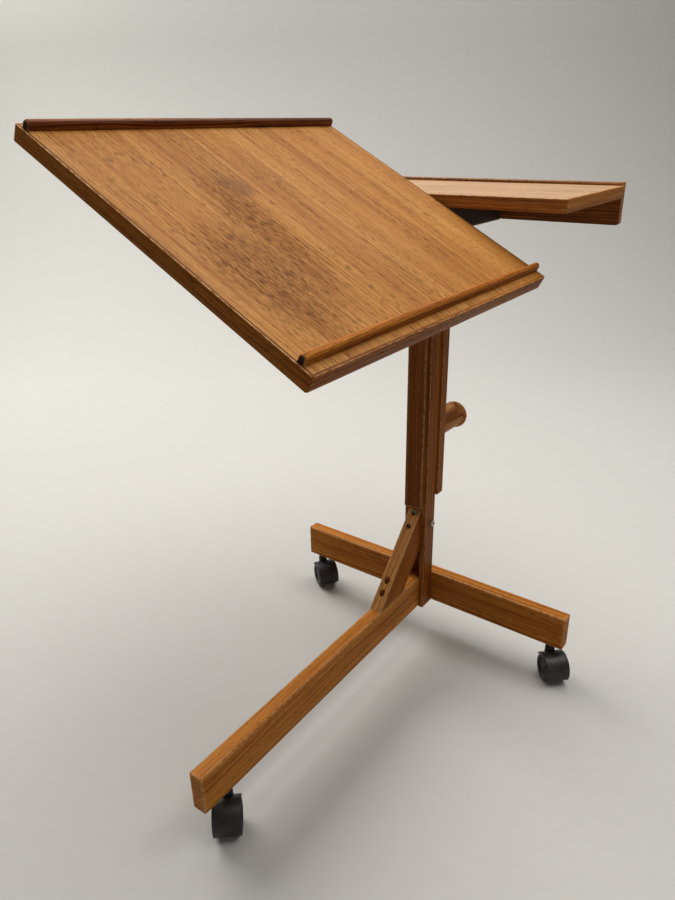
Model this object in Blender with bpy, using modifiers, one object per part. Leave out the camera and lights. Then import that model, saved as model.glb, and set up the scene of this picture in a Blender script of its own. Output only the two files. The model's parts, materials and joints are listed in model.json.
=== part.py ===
"""Teak overbed table on three castors: a fixed shelf and a tilting leaf on a mast of adjustable height.

Units are metres, +Z is up. X runs along the cross bar, -Y is the way the long leg points.
The origin is on the floor, at the centre of the whole table's footprint.
"""

import math

import bmesh
import bpy
from mathutils import Vector

# Frame. The mast stands here; every place below is measured from the mast's foot on the floor.
MAST_X = -0.0129
MAST_Y = 0.1538

# Clearances
GAP = 0.0003
HOLE_PLAY = 0.0003

# Base bars: the long leg and the cross bar are cut from one section
BAR_WIDTH = 0.022
BAR_BOTTOM = 0.0586
BAR_TOP = 0.1180
BAR_EDGE = 0.0025
LEG_END = -0.5326
LEG_START = 0.0147
CROSS_FRONT = 0.0153
CROSS_LENGTH = 0.515
CROSS_SHIFT = 0.0028

# Mast: two posts with a slot between them
POST_INNER = 0.0112
POST_THICK = 0.0084
POST_DEPTH = 0.030
POST_TOP = 0.6510
POST_EDGE = 0.001
SLOT_HALF = 0.0107
SPACER_BOTTOM = 0.1860
SPACER_STEP = 0.004
SPACER_TOP = 0.2580
TOP_SPACER_HEIGHT = 0.020
POST_BOLT = (0.0035, 0.2227)
POST_BOLT_RADIUS = 0.003
POST_BOLT_HEAD = 0.0051
POST_BOLT_PROUD = 0.0050

# Brace: a raking strut from the leg to the posts
BRACE_TOE = -0.136
BRACE_ANGLE = math.radians(48.0)
BRACE_DEPTH = 0.050
SCREW_SHANK = 0.0021
SCREW_HEAD = 0.0036
COUNTERBORE = 0.0044
LEG_SCREWS = ((-0.1145, 0.1340), (-0.1000, 0.1480))
POST_SCREWS = ((-0.0335, 0.2277), (-0.0188, 0.2466))

# Slide: the boards that clasp the posts and carry both tops
SLIDE_BOTTOM = 0.2720
FRONT_BOTTOM = 0.2590
SLIDE_TOP = 0.6907
FRONT_BOARD = (0.031, 0.010)
BACK_BOARD = (0.0468, 0.017)
TONGUE_BOTTOM = 0.2810
TONGUE_TOP = 0.4480
HEAD_BOTTOM = 0.6515
BEARER_BOTTOM = 0.6912

# Height clamp
CLAMP_HEIGHT = 0.3810
STUD_RADIUS = 0.0045
KNOB_SHAFT = 0.0188
KNOB_RIM = 0.0228
KNOB_LENGTH = 0.085
WASHER_THICK = 0.002

# Tops
TOP_HEIGHT = 0.7484
TOP_THICK = 0.0172
TOP_EDGE = 0.0008
LIPPING = 0.0030
SHELF_X = 0.0
SHELF_WIDTH = 0.401
SHELF_FRONT = -0.016
SHELF_BACK = 0.2137
FENCE_THICK = 0.011
FENCE_PROUD = 0.0046
FENCE_BOTTOM = 0.6926
FENCE_CORNER = 0.005

# Tilting leaf, drawn flat about its pivot rod and then tilted
PIVOT_DROP = 0.024
LEAF_TILT = math.radians(28.2)
LEAF_SHIFT = -0.0055
LEAF_WIDTH = 0.4015
LEAF_NEAR = -0.5062
LEAF_FAR = -0.0190
LIP_HIGH = -0.1885
LIP_LOW = 0.1832
LIP_WIDTH = 0.0086
LIP_HEIGHT = 0.0095
LIP_NEAR = 0.0028
LIP_FAR = 0.0005
ROD_RADIUS = 0.005
ROD_END = -0.455
ROD_TAIL = 0.030
SADDLE_HALF = 0.018
SADDLE_LENGTH = 0.030
SADDLE_DEPTH = 0.014
SADDLES = (("mast", -0.100), ("end", -0.425))
PLATE_HALF = 0.016
PLATE_THICK = 0.003
TILT_STUD_RADIUS = 0.003
TILT_KNOB_RADIUS = 0.015

# Castors: swivel axis from the mast, and the way each one trails, in degrees from +X
WHEEL_RADIUS = 0.0228
WHEEL_WIDTH = 0.0157
WEB_HALF = 0.0024
CASTOR_TRAIL = 0.017
HOOD_RADIUS = 0.0251
HOOD_HALF = 0.0188
POCKET_RADIUS = 0.0234
HOOD_TOP = 0.0528
NECK_RADIUS = 0.0055
STEM_RADIUS = 0.0040
SOCKET_RADIUS = 0.0062
SOCKET_DEPTH = 0.036
AXLE_RADIUS = 0.003
CASTORS = (
    ("front", 0.0, -0.4850, -48.0),
    ("left", -0.2322, 0.0263, -35.0),
    ("right", 0.2378, 0.0263, -46.0),
)

QUARTER = math.pi / 2
ALONG_Y = (-QUARTER, 0.0, 0.0)
ALONG_X = (0.0, QUARTER, 0.0)
UPRIGHT = (0.0, 0.0, 0.0)
IN_XZ = (QUARTER, 0.0, 0.0)
IN_YZ = (QUARTER, 0.0, QUARTER)


def clear_scene():
    for obj in list(bpy.data.objects):
        bpy.data.objects.remove(obj, do_unlink=True)


def new_collection(name):
    collection = bpy.data.collections.new(name)
    bpy.context.scene.collection.children.link(collection)
    return collection


def make_material(name, colour, roughness, metallic=0.0):
    material = bpy.data.materials.new(name)
    material.use_nodes = True
    shader = material.node_tree.nodes["Principled BSDF"]
    shader.inputs["Base Color"].default_value = (*colour, 1.0)
    shader.inputs["Roughness"].default_value = roughness
    shader.inputs["Metallic"].default_value = metallic
    return material


clear_scene()
PARTS = new_collection("overbed_table")
CUTTERS = new_collection("cutters")
VENEER = make_material("teak_veneer", (0.40, 0.17, 0.052), 0.42)
TEAK = make_material("solid_teak", (0.30, 0.108, 0.028), 0.48)
DARK_TEAK = make_material("dark_teak", (0.15, 0.048, 0.016), 0.45)
BRACE_TEAK = make_material("brace_teak", (0.36, 0.15, 0.060), 0.5)
BLACK = make_material("black_nylon", (0.012, 0.012, 0.013), 0.45)
STEEL = make_material("zinc_steel", (0.50, 0.49, 0.46), 0.35, 1.0)


def place(obj, parent, location, rotation=UPRIGHT):
    obj.parent = parent
    obj.location = location
    obj.rotation_euler = rotation
    return obj


def axis_empty(name, parent, location, rotation=UPRIGHT):
    """A helper that marks a joint's axis; the pieces that move about it are its children."""
    empty = bpy.data.objects.new(name, None)
    PARTS.objects.link(empty)
    return place(empty, parent, location, rotation)


def add_mesh(name, mesh, material, collection=PARTS):
    obj = bpy.data.objects.new(name, mesh)
    collection.objects.link(obj)
    if material is not None:
        mesh.materials.append(material)
    if collection is CUTTERS:
        obj.hide_render = True
        obj.display_type = "WIRE"
    return obj


def soften(obj, width, segments=2):
    bevel = obj.modifiers.new("eased_edges", "BEVEL")
    bevel.width = width
    bevel.segments = segments
    bevel.limit_method = "ANGLE"
    return obj


def box(name, parent, x, y, z, material, edge=0.0, collection=PARTS):
    """A block between the given limits, with its origin at its own centre."""
    size = (x[1] - x[0], y[1] - y[0], z[1] - z[0])
    centre = ((x[0] + x[1]) / 2, (y[0] + y[1]) / 2, (z[0] + z[1]) / 2)
    shape = bmesh.new()
    bmesh.ops.create_cube(shape, size=1.0)
    bmesh.ops.scale(shape, vec=size, verts=shape.verts)
    mesh = bpy.data.meshes.new(name)
    shape.to_mesh(mesh)
    shape.free()
    obj = place(add_mesh(name, mesh, material, collection), parent, centre)
    if edge > 0.0:
        soften(obj, edge)
    return obj


def turned(name, parent, location, rotation, profile, material, steps=24, collection=PARTS):
    """A lathe-turned solid about local Z. The profile lists (radius, height), top to bottom."""
    mesh = bpy.data.meshes.new(name)
    points = [(radius, 0.0, height) for radius, height in profile]
    edges = [(i, i + 1) for i in range(len(points) - 1)]
    if profile[0][0] > 0.0:
        edges.append((len(points) - 1, 0))
    mesh.from_pydata(points, edges, [])
    obj = place(add_mesh(name, mesh, material, collection), parent, location, rotation)
    screw = obj.modifiers.new("lathe", "SCREW")
    screw.axis = "Z"
    screw.steps = steps
    screw.render_steps = steps
    screw.use_merge_vertices = True
    screw.merge_threshold = 0.00001
    screw.use_smooth_shade = True
    return obj


def rod(name, parent, start, end, radius, material, steps=16, collection=PARTS):
    """A plain round bar between two points, with its origin at the start."""
    start = Vector(start)
    way = Vector(end) - start
    turn = Vector((0.0, 0.0, 1.0)).rotation_difference(way).to_euler()
    profile = ((0.0, way.length), (radius, way.length), (radius, 0.0), (0.0, 0.0))
    return turned(name, parent, start, turn, profile, material, steps, collection)


def prism(name, parent, location, rotation, outline, thickness, material):
    """A flat outline in local XY, made thick along local Z."""
    curve = bpy.data.curves.new(name, "CURVE")
    curve.dimensions = "2D"
    curve.fill_mode = "BOTH"
    curve.extrude = thickness / 2
    spline = curve.splines.new("POLY")
    spline.points.add(len(outline) - 1)
    for point, (x, y) in zip(spline.points, outline):
        point.co = (x, y, 0.0, 1.0)
    spline.use_cyclic_u = True
    drawn = bpy.data.objects.new(name + "_outline", curve)
    PARTS.objects.link(drawn)
    bpy.context.view_layer.update()
    graph = bpy.context.evaluated_depsgraph_get()
    mesh = bpy.data.meshes.new_from_object(drawn.evaluated_get(graph))
    bpy.data.objects.remove(drawn, do_unlink=True)
    shape = bmesh.new()
    shape.from_mesh(mesh)
    bmesh.ops.remove_doubles(shape, verts=shape.verts, dist=0.00001)
    bmesh.ops.recalc_face_normals(shape, faces=shape.faces)
    shape.to_mesh(mesh)
    shape.free()
    mesh.materials.clear()
    return place(add_mesh(name, mesh, material), parent, location, rotation)


def arc(centre, radius, start, end, count):
    """Points along a round stretch of an outline; the angles are in degrees."""
    points = []
    for i in range(count + 1):
        angle = math.radians(start + (end - start) * i / count)
        points.append((centre[0] + radius * math.cos(angle), centre[1] + radius * math.sin(angle)))
    return points


def boolean(obj, other, operation="DIFFERENCE"):
    modifier = obj.modifiers.new(other.name, "BOOLEAN")
    modifier.operation = operation
    modifier.solver = "EXACT"
    modifier.object = other
    return obj


def drill(obj, parent, start, end, radius, steps=16):
    """Cuts a round hole through obj, from start to end."""
    name = f"{obj.name}_hole_{len(obj.modifiers)}"
    return boolean(obj, rod(name, parent, start, end, radius, None, steps, CUTTERS))


def brace_line(y):
    """Height of the brace's front face at y."""
    return BAR_TOP + GAP + (y - BRACE_TOE) * math.tan(BRACE_ANGLE)


def make_long_leg(mast):
    half = BAR_WIDTH / 2
    leg = box("long_leg", mast, (-half, half), (LEG_END, LEG_START), (BAR_BOTTOM, BAR_TOP), TEAK, BAR_EDGE)
    socket_pocket(leg, mast, CASTORS[0])
    for y, head in LEG_SCREWS:
        drill(leg, mast, (0.0, y, head - 0.050), (0.0, y, BAR_TOP + 0.010), SCREW_SHANK + HOLE_PLAY, 12)
    for height in leg_bolt_heights():
        drill(leg, mast, (0.0, LEG_START - 0.045, height), (0.0, 0.030, height), POST_BOLT_RADIUS + HOLE_PLAY)


def leg_bolt_heights():
    middle = (BAR_BOTTOM + BAR_TOP) / 2
    return (middle - 0.014, middle + 0.014)


def make_cross_bar(mast):
    ends = (CROSS_SHIFT - CROSS_LENGTH / 2, CROSS_SHIFT + CROSS_LENGTH / 2)
    back = CROSS_FRONT + BAR_WIDTH
    bar = box("cross_bar", mast, ends, (CROSS_FRONT, back), (BAR_BOTTOM, BAR_TOP), TEAK, BAR_EDGE)
    for castor in CASTORS[1:]:
        socket_pocket(bar, mast, castor)
    for index, height in enumerate(leg_bolt_heights()):
        drill(bar, mast, (0.0, 0.005, height), (0.0, back + 0.005, height), POST_BOLT_RADIUS + HOLE_PLAY)
        drill(bar, mast, (0.0, back - 0.005, height), (0.0, back + 0.005, height), POST_BOLT_HEAD + HOLE_PLAY)
        profile = (
            (0.0, 0.0),
            (POST_BOLT_HEAD - 0.0006, 0.0),
            (POST_BOLT_HEAD, -0.0006),
            (POST_BOLT_HEAD, -0.0040),
            (POST_BOLT_RADIUS, -0.0040),
            (POST_BOLT_RADIUS, -0.0640),
            (0.0, -0.0640),
        )
        name = ("leg_bolt_lower", "leg_bolt_upper")[index]
        turned(name, mast, (0.0, back - 0.0006, height), ALONG_Y, profile, STEEL, 16)


def socket_pocket(bar, mast, castor):
    _, x, y, _ = castor
    top = BAR_BOTTOM + SOCKET_DEPTH + HOLE_PLAY
    drill(bar, mast, (x, y, BAR_BOTTOM - 0.010), (x, y, top), SOCKET_RADIUS + HOLE_PLAY)


def make_posts(mast):
    """Two posts, held apart by a stepped spacer above the leg and a short one at the top."""
    half = POST_DEPTH / 2
    y, z = POST_BOLT
    for name, side in (("left_post", -1), ("right_post", 1)):
        limits = sorted((side * POST_INNER, side * (POST_INNER + POST_THICK)))
        post = box(name, mast, limits, (-half, half), (BAR_BOTTOM, POST_TOP), TEAK, POST_EDGE)
        drill(post, mast, (-0.05, y, z), (0.05, y, z), POST_BOLT_RADIUS + HOLE_PLAY)
    back = half - GAP
    outline = (
        (-half, SPACER_BOTTOM),
        (SPACER_STEP, SPACER_BOTTOM),
        (SPACER_STEP, BAR_TOP + GAP),
        (back, BAR_TOP + GAP),
        (back, SPACER_TOP),
        (-half, SPACER_TOP),
    )
    spacer = prism("post_spacer", mast, (0.0, 0.0, 0.0), IN_YZ, outline, 2 * SLOT_HALF, TEAK)
    soften(spacer, POST_EDGE)
    drill(spacer, mast, (-0.05, y, z), (0.05, y, z), POST_BOLT_RADIUS + HOLE_PLAY)
    for _, height in POST_SCREWS:
        drill(spacer, mast, (0.0, -half - 0.010, height), (0.0, -0.002, height), SCREW_SHANK + HOLE_PLAY, 12)
    top = (POST_TOP - TOP_SPACER_HEIGHT, POST_TOP - GAP)
    box("post_top_spacer", mast, (-SLOT_HALF, SLOT_HALF), (-half, half - GAP), top, TEAK, POST_EDGE)


def make_post_bolt(mast):
    """A sleeve bolt across both posts, with a round head on each side and a socket in the right one."""
    face = POST_INNER + POST_THICK + GAP
    end = face + POST_BOLT_PROUD
    profile = (
        (0.0, end - 0.0035),
        (0.0028, end - 0.0035),
        (0.0028, end),
        (POST_BOLT_HEAD - 0.0006, end),
        (POST_BOLT_HEAD, end - 0.0006),
        (POST_BOLT_HEAD, face),
        (POST_BOLT_RADIUS, face),
        (POST_BOLT_RADIUS, -face),
        (POST_BOLT_HEAD, -face),
        (POST_BOLT_HEAD, -face - 0.0012),
        (POST_BOLT_HEAD - 0.0008, -face - 0.0020),
        (0.0, -face - 0.0020),
    )
    turned("post_bolt", mast, (0.0, *POST_BOLT), ALONG_X, profile, STEEL, 16)


def make_brace(mast):
    back = -POST_DEPTH / 2 - GAP
    rise = BRACE_DEPTH / math.cos(BRACE_ANGLE)
    foot = BRACE_TOE + rise / math.tan(BRACE_ANGLE)
    outline = (
        (BRACE_TOE, BAR_TOP + GAP),
        (foot, BAR_TOP + GAP),
        (back, brace_line(back) - rise),
        (back, brace_line(back)),
    )
    brace = prism("brace", mast, (0.0, 0.0, 0.0), IN_YZ, outline, 2 * SLOT_HALF, BRACE_TEAK)
    soften(brace, 0.0008)
    for index, (y, z) in enumerate(LEG_SCREWS):
        drill(brace, mast, (0.0, y, z - 0.060), (0.0, y, z + 0.040), SCREW_SHANK + HOLE_PLAY, 12)
        drill(brace, mast, (0.0, y, z - 0.0035), (0.0, y, z + 0.040), COUNTERBORE)
        make_screw(f"leg_screw_{index + 1}", mast, (0.0, y, z), UPRIGHT, 0.046)
    for index, (y, z) in enumerate(POST_SCREWS):
        drill(brace, mast, (0.0, y - 0.040, z), (0.0, y + 0.050, z), SCREW_SHANK + HOLE_PLAY, 12)
        drill(brace, mast, (0.0, y - 0.040, z), (0.0, y + 0.0026, z), COUNTERBORE)
        make_screw(f"post_screw_{index + 1}", mast, (0.0, y, z), (QUARTER, 0.0, 0.0), -y - 0.0045)


def make_screw(name, parent, location, rotation, length):
    """A wood screw with its slotless head at its origin, pointing along local -Z."""
    profile = (
        (0.0, -0.0012),
        (0.0014, -0.0012),
        (0.0016, 0.0),
        (SCREW_HEAD - 0.0005, 0.0),
        (SCREW_HEAD, -0.0006),
        (SCREW_SHANK, -0.0024),
        (SCREW_SHANK, 0.004 - length),
        (0.0, -length),
    )
    turned(name, parent, location, rotation, profile, STEEL, 12)


def make_slide(slide):
    half = POST_DEPTH / 2
    width, thick = FRONT_BOARD
    front = box(
        "front_board", slide, (-width / 2, width / 2), (-half - GAP - thick, -half - GAP),
        (FRONT_BOTTOM, SLIDE_TOP), TEAK, POST_EDGE,
    )
    recess = (0.0, -half - 0.0070, CLAMP_HEIGHT)
    drill(front, slide, recess, (0.0, 0.0, CLAMP_HEIGHT), STUD_RADIUS + HOLE_PLAY)
    width, thick = BACK_BOARD
    back = box(
        "back_board", slide, (-width / 2, width / 2), (half + GAP, half + GAP + thick),
        (SLIDE_BOTTOM, SLIDE_TOP), TEAK, POST_EDGE,
    )
    drill(back, slide, (0.0, 0.0, CLAMP_HEIGHT), (0.0, 0.050, CLAMP_HEIGHT), STUD_RADIUS + HOLE_PLAY)
    tongue = box(
        "slide_tongue", slide, (-SLOT_HALF + GAP, SLOT_HALF - GAP), (-half, half - 0.0025),
        (TONGUE_BOTTOM, TONGUE_TOP), TEAK, POST_EDGE,
    )
    drill(tongue, slide, (0.0, -0.03, CLAMP_HEIGHT), (0.0, 0.03, CLAMP_HEIGHT), STUD_RADIUS + HOLE_PLAY)
    width = BACK_BOARD[0]
    heights = (HEAD_BOTTOM, SLIDE_TOP)
    box("head_block", slide, (-width / 2, width / 2), (-half, half), heights, TEAK, POST_EDGE)


def make_clamp(slide):
    back = POST_DEPTH / 2 + GAP + BACK_BOARD[1] + GAP
    start = (0.0, -POST_DEPTH / 2 - 0.0067, CLAMP_HEIGHT)
    rod("clamp_stud", slide, start, (0.0, back + 0.024, CLAMP_HEIGHT), STUD_RADIUS, STEEL)
    ring = (
        (0.0140, WASHER_THICK),
        (0.0140, 0.0),
        (STUD_RADIUS + HOLE_PLAY, 0.0),
        (STUD_RADIUS + HOLE_PLAY, WASHER_THICK),
    )
    turned("clamp_washer", slide, (0.0, back, CLAMP_HEIGHT), ALONG_Y, ring, STEEL)
    start = back + WASHER_THICK + GAP
    knob_axis = axis_empty("height_knob_axis", slide, (0.0, start, CLAMP_HEIGHT), ALONG_Y)
    bore = STUD_RADIUS + HOLE_PLAY
    rim = KNOB_LENGTH - 0.017
    profile = [
        (0.0, KNOB_LENGTH),
        (0.010, KNOB_LENGTH - 0.0006),
        (0.017, KNOB_LENGTH - 0.0030),
        (0.0212, KNOB_LENGTH - 0.0070),
        (KNOB_RIM, KNOB_LENGTH - 0.0115),
        (KNOB_RIM - 0.0006, rim + 0.0015),
        (KNOB_SHAFT + 0.0010, rim),
        (KNOB_SHAFT, rim - 0.0030),
        (KNOB_SHAFT - 0.0008, 0.020),
        (KNOB_SHAFT - 0.0020, 0.0012),
        (KNOB_SHAFT - 0.0032, 0.0),
        (bore, 0.0),
        (bore, 0.026),
        (0.0, 0.026),
    ]
    turned("height_knob", knob_axis, (0.0, 0.0, 0.0), UPRIGHT, profile, TEAK, 32)


def make_shelf(slide):
    half = SHELF_WIDTH / 2
    left, right = SHELF_X - half, SHELF_X + half
    z = (TOP_HEIGHT - TOP_THICK, TOP_HEIGHT)
    inner = (left + LIPPING + GAP, right - LIPPING - GAP)
    box("shelf_panel", slide, inner, (SHELF_FRONT + LIPPING + GAP, SHELF_BACK), z, VENEER)
    lipped(slide, "shelf_lipping_left", (left, left + LIPPING), (SHELF_FRONT, SHELF_BACK), z)
    lipped(slide, "shelf_lipping_right", (right - LIPPING, right), (SHELF_FRONT, SHELF_BACK), z)
    lipped(slide, "shelf_lipping_front", inner, (SHELF_FRONT, SHELF_FRONT + LIPPING), z)
    make_fence(slide, left, right)
    bottom = (BEARER_BOTTOM, TOP_HEIGHT - TOP_THICK - GAP)
    width = (-BAR_WIDTH / 2, BAR_WIDTH / 2)
    bearer = box("shelf_bearer", slide, width, (-POST_DEPTH / 2, SHELF_BACK), bottom, DARK_TEAK, 0.0015)
    height = TOP_HEIGHT - PIVOT_DROP
    drill(bearer, slide, (0.0, -0.040, height), (0.0, ROD_TAIL + 0.0005, height), ROD_RADIUS + HOLE_PLAY)


def lipped(parent, name, x, y, z):
    return box(name, parent, x, y, z, TEAK, TOP_EDGE)


def make_fence(slide, left, right):
    """The upright board along the shelf's back edge: square at the top, with rounded lower corners."""
    top = TOP_HEIGHT + FENCE_PROUD
    radius = FENCE_CORNER
    low = FENCE_BOTTOM + radius
    outline = [(left, top)]
    outline += arc((left + radius, low), radius, 180, 270, 6)
    outline += arc((right - radius, low), radius, 270, 360, 6)
    outline.append((right, top))
    middle = SHELF_BACK + GAP + FENCE_THICK / 2
    fence = prism("shelf_fence", slide, (0.0, middle, 0.0), IN_XZ, outline, FENCE_THICK, DARK_TEAK)
    soften(fence, 0.0012)


def make_pivot(slide):
    height = TOP_HEIGHT - PIVOT_DROP
    rod("pivot_rod", slide, (0.0, ROD_TAIL, height), (0.0, ROD_END, height), ROD_RADIUS, STEEL)
    front = -POST_DEPTH / 2 - GAP
    plate = box(
        "pivot_plate", slide, (-PLATE_HALF, PLATE_HALF), (front - PLATE_THICK, front),
        (BEARER_BOTTOM + 0.0005, TOP_HEIGHT - TOP_THICK - 0.001), STEEL, 0.0006,
    )
    drill(plate, slide, (0.0, -0.040, height), (0.0, 0.0, height), ROD_RADIUS + HOLE_PLAY)


def make_leaf(pivot):
    """Everything that tilts, drawn level: the pivot rod's centre is the origin."""
    half = LEAF_WIDTH / 2
    left, right = LEAF_SHIFT - half, LEAF_SHIFT + half
    z = (PIVOT_DROP - TOP_THICK, PIVOT_DROP)
    inner = (left + LIPPING + GAP, right - LIPPING - GAP)
    box("leaf_panel", pivot, inner, (LEAF_NEAR + LIPPING + GAP, LEAF_FAR - LIPPING - GAP), z, VENEER)
    lipped(pivot, "leaf_lipping_high", (left, left + LIPPING), (LEAF_NEAR, LEAF_FAR), z)
    lipped(pivot, "leaf_lipping_low", (right - LIPPING, right), (LEAF_NEAR, LEAF_FAR), z)
    lipped(pivot, "leaf_lipping_end", inner, (LEAF_NEAR, LEAF_NEAR + LIPPING), z)
    lipped(pivot, "leaf_lipping_mast", inner, (LEAF_FAR - LIPPING, LEAF_FAR), z)
    make_lip(pivot, "book_lip_high", LEAF_SHIFT + LIP_HIGH, DARK_TEAK)
    make_lip(pivot, "book_lip_low", LEAF_SHIFT + LIP_LOW, TEAK)
    for name, middle in SADDLES:
        along = (middle - SADDLE_LENGTH / 2, middle + SADDLE_LENGTH / 2)
        saddle_z = (-SADDLE_DEPTH, PIVOT_DROP - TOP_THICK - GAP)
        saddle = box(f"saddle_{name}", pivot, (-SADDLE_HALF, SADDLE_HALF), along, saddle_z, TEAK, 0.0015)
        drill(saddle, pivot, (0.0, middle - 0.030, 0.0), (0.0, middle + 0.030, 0.0), ROD_RADIUS + HOLE_PLAY)
        if name == "mast":
            radius = TILT_STUD_RADIUS + HOLE_PLAY
            drill(saddle, pivot, (0.0, middle, -0.030), (0.0, middle, -0.002), radius, 12)


def make_lip(pivot, name, x, material):
    """A half-round bead glued on the leaf, so that a book can't slide off."""
    half = LIP_WIDTH / 2
    straight = LIP_HEIGHT - half
    outline = [(-half, 0.0), (half, 0.0)] + arc((0.0, straight), half, 0, 180, 10)
    length = LEAF_FAR - LIP_FAR - LEAF_NEAR - LIP_NEAR
    middle = (LEAF_FAR - LIP_FAR + LEAF_NEAR + LIP_NEAR) / 2
    prism(name, pivot, (x, middle, PIVOT_DROP + GAP), IN_XZ, outline, length, material)


def make_tilt_knob(pivot):
    middle = SADDLES[0][1]
    axis = axis_empty("tilt_knob_axis", pivot, (0.0, middle, 0.0))
    top = -ROD_RADIUS - GAP
    rod("tilt_stud", axis, (0.0, 0.0, -0.032), (0.0, 0.0, top), TILT_STUD_RADIUS, STEEL, 12)
    bore = TILT_STUD_RADIUS + HOLE_PLAY
    start = -SADDLE_DEPTH - 0.001
    profile = (
        (bore, start),
        (0.0080, start),
        (0.0088, start - 0.006),
        (TILT_KNOB_RADIUS - 0.0025, start - 0.0085),
        (TILT_KNOB_RADIUS, start - 0.0120),
        (TILT_KNOB_RADIUS - 0.0010, start - 0.0190),
        (TILT_KNOB_RADIUS - 0.0060, start - 0.0235),
        (0.0, start - 0.0245),
        (0.0, -0.0325),
        (bore, -0.0325),
    )
    knob = turned("tilt_knob", axis, (0.0, 0.0, 0.0), UPRIGHT, profile, TEAK, 20)
    return knob


def make_castor(mast, castor):
    label, x, y, heading = castor
    pockets(label, mast, x, y)
    swivel = axis_empty(f"castor_{label}_swivel", mast, (x, y, 0.0), (0.0, 0.0, math.radians(heading)))
    make_hood(label, swivel)
    stem = (
        (0.0, BAR_BOTTOM + SOCKET_DEPTH - 0.0015),
        (STEM_RADIUS - 0.0010, BAR_BOTTOM + SOCKET_DEPTH - 0.0015),
        (STEM_RADIUS, BAR_BOTTOM + SOCKET_DEPTH - 0.0030),
        (STEM_RADIUS, BAR_BOTTOM - GAP),
        (NECK_RADIUS, BAR_BOTTOM - GAP),
        (NECK_RADIUS, HOOD_TOP + GAP),
        (0.0035, HOOD_TOP + GAP),
        (0.0035, HOOD_TOP - 0.0070),
        (0.0, HOOD_TOP - 0.0070),
    )
    turned(f"castor_{label}_stem", swivel, (0.0, 0.0, 0.0), UPRIGHT, stem, STEEL, 16)
    reach = WEB_HALF + WHEEL_WIDTH - 0.0046
    start = (CASTOR_TRAIL, -reach, WHEEL_RADIUS)
    rod(f"castor_{label}_axle", swivel, start, (CASTOR_TRAIL, reach, WHEEL_RADIUS), AXLE_RADIUS, STEEL, 12)
    for side, sign in (("near", -1), ("far", 1)):
        make_wheel(f"castor_{label}_wheel_{side}", swivel, sign)


def pockets(label, mast, x, y):
    """The plastic sleeve that is pressed into the bar and holds the castor's stem."""
    sleeve = (
        (SOCKET_RADIUS, BAR_BOTTOM + SOCKET_DEPTH),
        (SOCKET_RADIUS, BAR_BOTTOM + GAP),
        (STEM_RADIUS + HOLE_PLAY, BAR_BOTTOM + GAP),
        (STEM_RADIUS + HOLE_PLAY, BAR_BOTTOM + SOCKET_DEPTH),
    )
    turned(f"castor_{label}_socket", mast, (x, y, 0.0), UPRIGHT, sleeve, BLACK, 16)


def make_hood(label, swivel):
    """A hood over both wheels, a web between them that holds the axle, and a boss for the stem."""
    outline = arc((0.0, 0.0), HOOD_RADIUS, -25, 150, 18)
    outline += [(-0.0150, 0.0040), (-0.0080, -0.0070), (0.0060, -0.0100), (0.0150, -0.0120)]
    middle = (CASTOR_TRAIL, 0.0, WHEEL_RADIUS)
    hood = prism(f"castor_{label}_hood", swivel, middle, IN_XZ, outline, 2 * HOOD_HALF, BLACK)
    boss_bottom = WHEEL_RADIUS + 0.014
    boss = (
        (0.0, HOOD_TOP),
        (0.0066, HOOD_TOP),
        (0.0078, HOOD_TOP - 0.0015),
        (0.0082, boss_bottom),
        (0.0, boss_bottom),
    )
    post = turned(f"castor_{label}_boss", swivel, (0, 0, 0), UPRIGHT, boss, None, 16, CUTTERS)
    boolean(hood, post, "UNION")
    for sign in (-1, 1):
        start = (CASTOR_TRAIL, sign * WEB_HALF, WHEEL_RADIUS)
        drill(hood, swivel, start, (CASTOR_TRAIL, sign * 0.030, WHEEL_RADIUS), POCKET_RADIUS, 36)
    across = 0.010
    start = (CASTOR_TRAIL, -across, WHEEL_RADIUS)
    drill(hood, swivel, start, (CASTOR_TRAIL, across, WHEEL_RADIUS), AXLE_RADIUS + HOLE_PLAY, 12)
    drill(hood, swivel, (0.0, 0.0, HOOD_TOP - 0.0073), (0.0, 0.0, HOOD_TOP + 0.010), 0.0038)


def make_wheel(name, swivel, sign):
    """A wheel with a rounded tread and a dished outer face. Local Z points out from the hood's web."""
    inner = WEB_HALF + 0.0004
    outer = inner + WHEEL_WIDTH
    bore = AXLE_RADIUS + HOLE_PLAY
    profile = (
        (0.0, outer - 0.0030),
        (0.0080, outer - 0.0030),
        (WHEEL_RADIUS - 0.0060, outer - 0.0030),
        (WHEEL_RADIUS - 0.0050, outer),
        (WHEEL_RADIUS - 0.0022, outer),
        (WHEEL_RADIUS, outer - 0.0030),
        (WHEEL_RADIUS, inner + 0.0010),
        (WHEEL_RADIUS - 0.0010, inner),
        (bore, inner),
        (bore, outer - 0.0045),
        (0.0, outer - 0.0045),
    )
    turn = (-QUARTER * sign, 0.0, 0.0)
    turned(name, swivel, (CASTOR_TRAIL, 0.0, WHEEL_RADIUS), turn, profile, BLACK, 32)


def main():
    mast = axis_empty("mast_foot", None, (MAST_X, MAST_Y, 0.0))
    make_long_leg(mast)
    make_cross_bar(mast)
    make_posts(mast)
    make_post_bolt(mast)
    make_brace(mast)
    for castor in CASTORS:
        make_castor(mast, castor)
    slide = axis_empty("height_slide", mast, (0.0, 0.0, 0.0))
    make_slide(slide)
    make_clamp(slide)
    make_shelf(slide)
    make_pivot(slide)
    pivot = axis_empty("leaf_pivot", slide, (0.0, 0.0, TOP_HEIGHT - PIVOT_DROP), (0.0, LEAF_TILT, 0.0))
    make_leaf(pivot)
    make_tilt_knob(pivot)


main()
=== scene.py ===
"""Finished look of the teak overbed table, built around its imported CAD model.

Units are metres, +Z is up, and every place is worked out from the CAD nodes. A wooden piece is built
with its own local X along the grain, so that the wood material can follow it.
"""

import json
import math

import bmesh
import bpy
from mathutils import Matrix, Vector


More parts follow.
